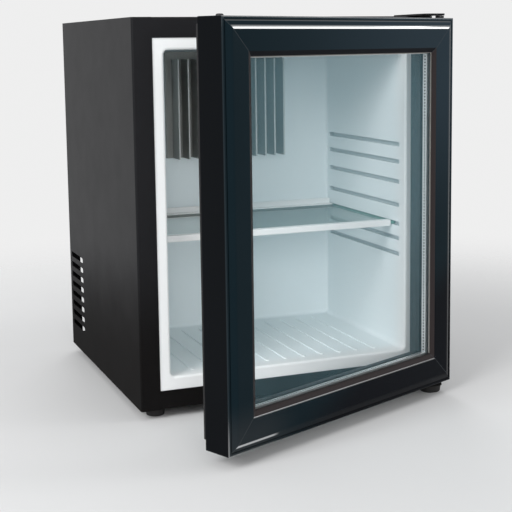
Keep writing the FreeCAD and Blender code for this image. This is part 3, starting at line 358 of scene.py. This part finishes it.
def gloss_frame():
    """Gloss blue-black door frame: slight waves, wiping marks, hairline mitres and a matt bevel.

    The colour is paler at the upper hinge corner, a painted sheen, and black at the lower one and
    on the edges, painted shade. The top rail's bevel is painted black as shade, and the free lower
    corner has a grey painted sheen and a pale streak that is a painted highlight. The top rail's
    bead and ridge, the bottom rail's lip, the rim and the streak at the lower corner are polished
    brighter.
    """
    finish = Finish("gloss_frame", Specular_IOR_Level=0.05, Specular_Tint=rgb(0.62, 0.93, 1.0),
                    Coat_IOR=3.0, Coat_Roughness=0.05)
    wiped = finish.noise(1.5, 4, (0.25, 0.25, 1))
    across, depth = finish.on_shut_door()
    height = finish.along(2)
    front = finish.fade(depth - door_face, 0.4, 1.4)
    from_side = half_width / MM - abs(across)
    from_end = (door_high - door_low) / MM / 2 - abs(height - door_middle)
    inset = from_side.less(from_end)
    level_rail = finish.step(from_side - from_end, 0, 1)
    upper = finish.step(height, door_middle - 1, door_middle + 1)
    top_rail = level_rail * upper
    bottom_rail = level_rail * (1 - upper)

    bead = top_rail * finish.line(inset, bead_inset, 0.3, 0.8)
    ridge = top_rail * finish.line(inset, ridge_inset, 1.6, 2.4)
    lip = bottom_rail * finish.line(inset, lip_inset, 0.4, 0.9)
    bevel = finish.step(inset, lip_inset + 0.6, lip_inset + 1)
    mitre = finish.line(from_side, from_end, 0.15, 0.4)
    from_free_side = across + half_width / MM
    from_foot = height - door_low / MM
    corner = finish.fade(from_free_side, streak_length - 12, streak_length)
    polished_painted_streak = bottom_rail * corner * finish.line(inset, streak_inset, 0.9, 1.7)
    worn = corner * finish.fade(from_foot, 6, 48)
    painted_corner_sheen = finish.fade(from_free_side, 40, 115) * finish.fade(from_foot, 15, 60)
    hinge_side = finish.step(across, 0, 10)
    shine = 0.07 - 0.03 * hinge_side + 0.38 * top_rail + 0.9 * worn
    rim = front * finish.fade(inset, 0.9, 1.4) * shine

    painted_sheen = finish.step(across, -210, 190) * finish.step(height, 190, 420)
    above_shaded_corner = finish.step(height - 0.55 * across, 28, 95)
    lacquer = finish.mix(finish.noise(120, 2), rgb(0.0042, 0.0105, 0.0145),
                         rgb(0.0068, 0.0138, 0.0188))
    # Paler blue over the upper hinge side: painted sheen
    lacquer = finish.mix(painted_sheen, lacquer, rgb(0.02, 0.0325, 0.0435))
    # Near-black below a diagonal at the lower hinge corner: painted shade
    lacquer = finish.mix(above_shaded_corner, rgb(0.004, 0.004, 0.006), lacquer)
    # Grey sheen over the free lower corner: painted sheen
    lacquer = finish.mix(painted_corner_sheen, lacquer, rgb(0.019, 0.0235, 0.027))
    # Top rail's bevel painted near-black as shade; the other bevels keep a brown-grey matt
    matt = finish.mix(top_rail, rgb(0.033, 0.026, 0.026), rgb(0.007, 0.007, 0.009))
    # Off the front face the door's sides are painted near-black as shade
    colour = finish.mix(front, rgb(0.003, 0.003, 0.004), lacquer)
    colour = finish.mix(bevel, colour, matt)
    # Pale grey streak along the bottom rail at the free corner: a painted highlight
    colour = finish.mix(polished_painted_streak, colour, rgb(0.34, 0.35, 0.36))
    colour = finish.mix(mitre, colour, rgb(0.06, 0.065, 0.07))
    polish = ridge.greater(rim).greater(polished_painted_streak).greater(0.5 * lip).greater(0.4 * bead)
    finish.feed(Base_Color=colour, Roughness=0.08 + 0.06 * wiped + 0.4 * bevel, Coat_Weight=polish)
    finish.relief(finish.noise(55, 1), 0.05, 0.6)
    return finish


def matte_plastic(name, dark, light):
    """Moulded plastic with a spark-eroded grain."""
    finish = Finish(name, Specular_IOR_Level=0.4)
    grain = finish.noise(0.7, 3)
    finish.feed(Base_Color=finish.mix(finish.noise(18, 3), dark, light),
                Roughness=0.5 + 0.16 * grain)
    finish.relief(grain, 0.03, 0.7)
    return finish


def soft_rubber(name, dark, light, bottom_run_shade=None):
    """Extruded rubber with drag lines along Z and a dry bloom.

    With a third colour, the glazing seal's bottom run is painted darker, as shade.
    """
    finish = Finish(name, Specular_IOR_Level=0.3)
    drag = finish.noise(0.9, 3, (1, 1, 0.08))
    colour = finish.mix(finish.noise(8, 4), dark, light)
    if bottom_run_shade:
        # The bottom run's darker colour is painted shade
        shaded_run = finish.fade(finish.along(2) - door_low / MM, *seal_run_end)
        colour = finish.mix(shaded_run, colour, bottom_run_shade)
    finish.feed(Base_Color=colour, Roughness=0.62 + 0.2 * drag)
    finish.relief(drag, 0.03)
    return finish


def tinted_pane():
    """Blue-green double glazing: clear, with smears from wiping and a faint teal haze: the glass's
    tint, with a painted reflection that grows upwards.
    """
    finish = Finish("tinted_pane", Roughness=0.03, Specular_IOR_Level=0.5)
    smear = finish.noise(60, 4, (1, 1, 0.5))
    # Heavier teal haze higher up: painted reflection
    painted_upper_reflection = finish.step(finish.along(2), 60, 280)
    finish.feed(Base_Color=finish.mix(smear, rgb(0.37, 0.74, 0.87), rgb(0.42, 0.79, 0.92)),
                Alpha=0.014 + 0.02 * painted_upper_reflection + 0.013 * smear)
    return finish


def shelf_pane():
    """Clear shelf glass whose ground edges show green."""
    finish = Finish("shelf_pane", Roughness=0.04, Specular_IOR_Level=0.5)
    low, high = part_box("shelf_glass")
    from_front = finish.along(1) - low.y / MM
    from_side = high.x / MM - abs(finish.along(0))
    edge = finish.fade(from_front, 0.5, 1.5).greater(finish.fade(from_side, 0.5, 1.5))
    finish.feed(Base_Color=finish.mix(edge, rgb(0.38, 0.58, 0.54), rgb(0.22, 0.5, 0.42)),
                Alpha=0.2 + 0.56 * edge + 0.04 * finish.noise(30, 3))
    return finish


def perforated_spacer():
    """Satin aluminium spacer with a row of breather holes along every side."""
    finish = Finish("perforated_spacer", Metallic=0.9)
    across, depth = finish.on_shut_door()
    upright = finish.step(abs(across), spacer_inner_half - 0.3, spacer_inner_half - 0.1)
    run = across + upright * (finish.along(2) - across)
    beat = abs((run / spacer_dot_pitch).fraction() - 0.5) * spacer_dot_pitch
    middle = abs(depth - spacer_middle)
    reach = (beat * beat + middle * middle).root()
    hole = finish.fade(reach, spacer_dot_radius, spacer_dot_radius + 0.25)
    brushed = finish.noise(0.8, 2, (1, 1, 0.1))
    satin = finish.mix(brushed, rgb(0.7, 0.71, 0.71), rgb(0.8, 0.81, 0.81))
    finish.feed(Base_Color=finish.mix(hole, satin, rgb(0.05, 0.05, 0.05)),
                Roughness=0.34 + 0.12 * brushed)
    return finish


def copper_tube():
    """Copper capillary, tarnished in patches."""
    finish = Finish("copper_tube", Metallic=1.0)
    tarnish = finish.noise(7, 4)
    finish.feed(Base_Color=finish.mix(tarnish, rgb(0.66, 0.36, 0.22), rgb(0.36, 0.2, 0.13)),
                Roughness=0.28 + 0.25 * tarnish)
    return finish


def dress(finish, names):
    for name in names.split():
        piece = frame["nodes"][name]
        piece.data.materials.clear()
        piece.data.materials.append(finish.material)


def dress_cabinet():
    dress(satin_powder_coat(),
          "left_side_panel right_side_panel top_panel base_panel "
          "top_hinge_plate bottom_hinge_plate hinge_screws")
    dress(zinc_plate(),
          "rear_bulkhead hinge_backing_plates vessel_brackets boiler_brackets "
          "condenser_brackets coil_brackets heater_cartridge thermostat_shaft "
          "hinge_pins foot_screws clamp_screws bracket_screws")
    dress(moulded_liner(), "inner_liner")
    dress(rigid_foam(), "foam_insulation")
    dress(dark_anodised(), "cold_plate clamp_block")
    dress(black_lacquer(),
          "evaporator_tube condenser_tube rectifier_tube boiler_jacket boiler_tube "
          "absorber_vessel absorber_coil gas_exchanger solution_tube")
    dress(mill_aluminium(), "condenser_fins")
    dress(soft_rubber("foot_rubber", rgb(0.012, 0.012, 0.012), rgb(0.022, 0.021, 0.02)),
          "round_feet hinge_foot")
    dress(matte_plastic("control_plastic", rgb(0.05, 0.05, 0.053), rgb(0.07, 0.07, 0.073)),
          "control_box control_lid thermostat cable_gland")
    dress(copper_tube(), "thermostat_capillary")


def dress_shelf():
    dress(shelf_pane(), "shelf_glass")
    dress(white_trim(), "shelf_front_trim shelf_rear_trim")


def dress_door_and_knob():
    dress(gloss_frame(), "door_rail_left door_rail_right door_rail_top door_rail_bottom")
    dress(matte_plastic("bead_plastic", rgb(0.011, 0.011, 0.012), rgb(0.018, 0.018, 0.019)),
          "glazing_beads door_corner_keys hinge_bushes hinge_hole_plugs thermostat_knob")
    dress(tinted_pane(), "outer_glass inner_glass")
    dress(perforated_spacer(), "glass_spacer")
    dress(soft_rubber("edge_compound", rgb(0.01, 0.01, 0.01), rgb(0.016, 0.016, 0.016)),
          "edge_sealant")
    dress(soft_rubber("glazing_rubber", rgb(0.17, 0.165, 0.155), rgb(0.23, 0.22, 0.21),
                      rgb(0.02, 0.018, 0.018)),
          "glazing_seal")
    dress(soft_rubber("magnet_strip", rgb(0.05, 0.04, 0.035), rgb(0.08, 0.065, 0.06)),
          "gasket_magnets")


# New pieces
def seal_ring(inset, width, back, front, rounding):
    """Closed rectangular ring round the shut door, with rounded edges."""
    bpy.ops.object.select_all(action="DESELECT")
    place = (0, cabinet_front + back * MM, (door_low + door_high) / 2)
    bpy.ops.mesh.primitive_plane_add(size=1, location=place, rotation=(-math.pi / 2, 0, 0))
    ring = bpy.context.object
    ring.scale = (2 * (half_width - inset * MM), door_high - door_low - 2 * inset * MM, 1)
    bpy.ops.object.transform_apply(location=True, rotation=True, scale=True)
    bpy.ops.object.mode_set(mode="EDIT")
    bpy.ops.mesh.select_mode(type="FACE")
    bpy.ops.mesh.select_all(action="SELECT")
    bpy.ops.mesh.inset(thickness=width * MM)
    bpy.ops.mesh.delete(type="FACE")
    bpy.ops.mesh.select_all(action="SELECT")
    through = (0, (front - back) * MM, 0)
    bpy.ops.mesh.extrude_region_move(TRANSFORM_OT_translate={"value": through})
    bpy.ops.mesh.select_all(action="SELECT")
    bpy.ops.mesh.normals_make_consistent(inside=False)
    bpy.ops.object.mode_set(mode="OBJECT")
    bevel = ring.modifiers.new("rounding", "BEVEL")
    bevel.width = rounding * MM
    bevel.segments = rounding_steps
    bevel.limit_method = "ANGLE"
    bpy.ops.object.modifier_apply(modifier="rounding")
    return ring


def swing_open(piece):
    """Turn a piece that was made on the shut door to where the door stands."""
    piece.data.transform(Matrix.Translation(hinge_place) @ Matrix.Rotation(door_ajar, 4, "Z")
                         @ Matrix.Translation(-hinge_place))


def bellows_gasket():
    """Soft magnetic seal: base strip, pleated neck and the bulb that meets the cabinet."""
    rings = [seal_ring(*sizes) for sizes in gasket_rings]
    bpy.ops.object.select_all(action="DESELECT")
    for ring in rings:
        ring.select_set(True)
    bpy.ops.object.join()
    seal = bpy.context.object
    seal.name = "bellows_gasket"
    bpy.ops.object.shade_smooth_by_angle(angle=crease_angle)
    swing_open(seal)
    rubber = soft_rubber("gasket_rubber", rgb(0.012, 0.012, 0.013), rgb(0.02, 0.02, 0.021))
    seal.data.materials.append(rubber.material)
    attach(seal, "door")
    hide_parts("door_gasket")


# Stage, light and camera
def pale_floor():
    """Pale floor that fades into the backdrop about a metre away."""
    bpy.ops.object.select_all(action="DESELECT")
    bpy.ops.mesh.primitive_plane_add(size=floor_size, location=(0, 0, 0))
    floor = bpy.context.object
    floor.name = "floor"
    finish = Finish("pale_floor", Roughness=0.85, Specular_IOR_Level=0.2)
    across = finish.along(0)
    deep = finish.along(1)
    reach = (across * across + deep * deep).root()
    pale = finish.mix(finish.noise(300, 2), rgb(0.71, 0.71, 0.71), rgb(0.74, 0.74, 0.74))
    finish.feed(Base_Color=pale, Alpha=finish.fade(reach, *floor_fade))
    floor.data.materials.append(finish.material)


def studio_world():
    """Pale surroundings: a backdrop seen directly, in gloss and through glass, else a soft fill."""
    world = bpy.data.worlds.new("studio")
    bpy.context.scene.world = world
    world.use_nodes = True
    tree = world.node_tree
    tree.nodes.clear()
    path = tree.nodes.new("ShaderNodeLightPath")
    seen = path.outputs["Is Camera Ray"]
    for other in ("Is Glossy Ray", "Is Transmission Ray"):
        either = tree.nodes.new("ShaderNodeMath")
        either.operation = "MAXIMUM"
        tree.links.new(seen, either.inputs[0])
        tree.links.new(path.outputs[other], either.inputs[1])
        seen = either.outputs[0]
    choose = tree.nodes.new("ShaderNodeMixShader")
    tree.links.new(seen, choose.inputs[0])
    shades = ((rgb(0.96, 0.98, 1.0), fill_strength), (rgb(0.86, 0.86, 0.86), backdrop_strength))
    for slot, (colour, strength) in enumerate(shades, start=1):
        shade = tree.nodes.new("ShaderNodeBackground")
        shade.inputs["Color"].default_value = colour
        shade.inputs["Strength"].default_value = strength
        tree.links.new(shade.outputs[0], choose.inputs[slot])
    output = tree.nodes.new("ShaderNodeOutputWorld")
    tree.links.new(choose.outputs[0], output.inputs[0])


def studio_light():
    """Soft boxes that face the middle of the cabinet's front."""
    middle = Vector((0, cabinet_front, (cabinet_low.z + cabinet_high.z) / 2))
    for name, place, size, power in soft_boxes:
        bpy.ops.object.light_add(type="AREA", location=place)
        lamp = bpy.context.object
        lamp.name = name
        lamp.data.shape = "RECTANGLE"
        lamp.data.size, lamp.data.size_y = size
        lamp.data.energy = power
        lamp.rotation_euler = (middle - Vector(place)).to_track_quat("-Z", "Y").to_euler()


def photo_camera():
    """Camera at the photograph's viewing angle, with its slight roll."""
    level = math.cos(camera_tilt)
    forward = Vector((math.sin(camera_turn) * level, math.cos(camera_turn) * level,
                      -math.sin(camera_tilt)))
    right = Vector((math.cos(camera_turn), -math.sin(camera_turn), 0))
    up = right.cross(forward)
    side = right * math.cos(camera_roll) + up * math.sin(camera_roll)
    over = up * math.cos(camera_roll) - right * math.sin(camera_roll)
    bpy.ops.object.camera_add()
    camera = bpy.context.object
    camera.data.sensor_width = sensor_width
    camera.data.lens = focal_px / image_px * sensor_width
    camera.data.shift_x = 0.5 - optical_axis_px[0] / image_px
    camera.data.shift_y = optical_axis_px[1] / image_px - 0.5
    turn = Matrix((side, over, -forward)).transposed().to_4x4()
    place = Vector((camera_from_front[0], cabinet_front + camera_from_front[1],
                    cabinet_low.z + camera_above_body))
    camera.matrix_world = Matrix.Translation(place) @ turn
    bpy.context.scene.camera = camera


dress_cabinet()
dress_shelf()
dress_door_and_knob()
bellows_gasket()
pale_floor()
studio_world()
studio_light()
photo_camera()
bpy.context.scene.view_settings.view_transform = "Standard"
